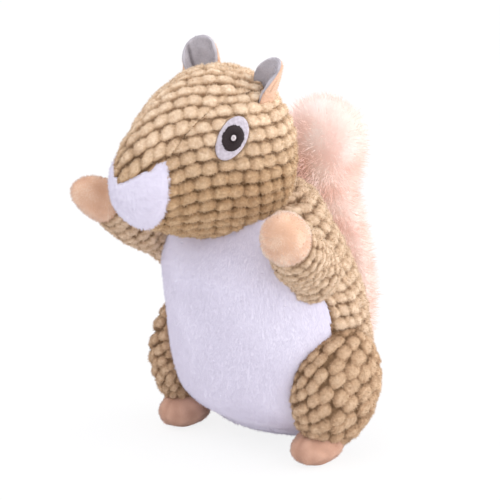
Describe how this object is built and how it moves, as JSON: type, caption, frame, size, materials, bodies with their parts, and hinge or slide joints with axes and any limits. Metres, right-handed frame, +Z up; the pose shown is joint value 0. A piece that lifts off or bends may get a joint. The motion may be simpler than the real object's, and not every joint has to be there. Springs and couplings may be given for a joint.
{
  "type": "squeaky plush dog toy",
  "caption": "Sitting plush squirrel dog toy with raised arms, long-pile tail, sewn covers over fibre filling and a pleated squeaker in its tummy.",
  "frame": {"origin": "middle of the flat that the toy sits on, under its rump", "axes": "+Z up, -Y the way the body faces, +X the squirrel's own left"},
  "size_m": [0.1383, 0.1654, 0.2088],
  "materials": {
    "tan_plush": "popcorn plush",
    "white_plush": "short plush",
    "peach_velour": "velour",
    "grey_velour": "velour",
    "pink_fur": "long pile",
    "white_felt": "felt",
    "dark_thread": "satin stitch",
    "white_thread": "satin stitch",
    "fibre_filling": "loose fibre",
    "soft_plastic": "soft moulded",
    "hard_plastic": "moulded"
  },
  "bodies": {
    "torso": {"tummy_panel": "white_plush", "torso_left_panel": "tan_plush", "torso_right_panel": "tan_plush", "torso_filling_front": "fibre_filling", "torso_filling_back": "fibre_filling", "squeaker_bulb": "soft_plastic", "squeaker_base": "soft_plastic", "reed_tube": "hard_plastic", "reed": "hard_plastic", "left_haunch_cover": "tan_plush", "left_haunch_filling": "fibre_filling", "left_foot": "peach_velour", "right_haunch_cover": "tan_plush", "right_haunch_filling": "fibre_filling", "right_foot": "peach_velour"},
    "squeaker_front": {"squeaker_face": "soft_plastic"},
    "head": {"head_gusset": "tan_plush", "muzzle_panel": "white_plush", "head_left_panel": "tan_plush", "head_right_panel": "tan_plush", "head_filling": "fibre_filling", "left_eye_patch": "white_felt", "left_eye_iris": "dark_thread", "left_eye_glint": "white_thread", "right_eye_patch": "white_felt", "right_eye_iris": "dark_thread", "right_eye_glint": "white_thread"},
    "left_ear": {"left_ear_front": "grey_velour", "left_ear_back": "peach_velour"},
    "right_ear": {"right_ear_front": "grey_velour", "right_ear_back": "peach_velour"},
    "left_arm": {"left_sleeve": "tan_plush", "left_hand": "peach_velour", "left_arm_filling": "fibre_filling"},
    "right_arm": {"right_sleeve": "tan_plush", "right_hand": "peach_velour", "right_arm_filling": "fibre_filling"},
    "tail": {"tail_cover": "pink_fur", "tail_filling": "fibre_filling"}
  },
  "joints": [
    {"name": "neck_turn", "type": "hinge", "parent": "torso", "child": "head", "pos_m": [0, -0.032, 0.133], "axis": [0, 0, 1], "range_deg": [-15, 25], "stiffness_Nm_per_rad": 0.3},
    {"name": "left_shoulder", "type": "hinge", "parent": "torso", "child": "left_arm", "pos_m": [0.044, -0.04, 0.1], "axis": [0.9762, -0.217, 0], "range_deg": [-20, 40], "stiffness_Nm_per_rad": 0.15},
    {"name": "right_shoulder", "type": "hinge", "parent": "torso", "child": "right_arm", "pos_m": [-0.044, -0.04, 0.1], "axis": [0.9762, 0.217, 0], "range_deg": [-20, 40], "stiffness_Nm_per_rad": 0.15},
    {"name": "left_ear_fold", "type": "hinge", "parent": "head", "child": "left_ear", "pos_m": [0.01773, -0.05239, 0.194], "axis": [0.7653, -0.5641, -0.31], "range_deg": [-18, 18], "stiffness_Nm_per_rad": 0.02},
    {"name": "right_ear_fold", "type": "hinge", "parent": "head", "child": "right_ear", "pos_m": [-0.02363, -0.0451, 0.194], "axis": [0.9121, 0.2683, 0.31], "range_deg": [-18, 18], "stiffness_Nm_per_rad": 0.02},
    {"name": "tail_swing", "type": "hinge", "parent": "torso", "child": "tail", "pos_m": [0, 0.023, 0.021], "axis": [-1, 0, 0], "range_deg": [0, 40], "stiffness_Nm_per_rad": 0.4},
    {"name": "squeaker_squeeze", "type": "slide", "parent": "torso", "child": "squeaker_front", "axis": [0, 1, 0], "range_m": [0, 0.008], "stiffness_N_per_m": 600, "deforming": ["squeaker_bulb"]}
  ]
}
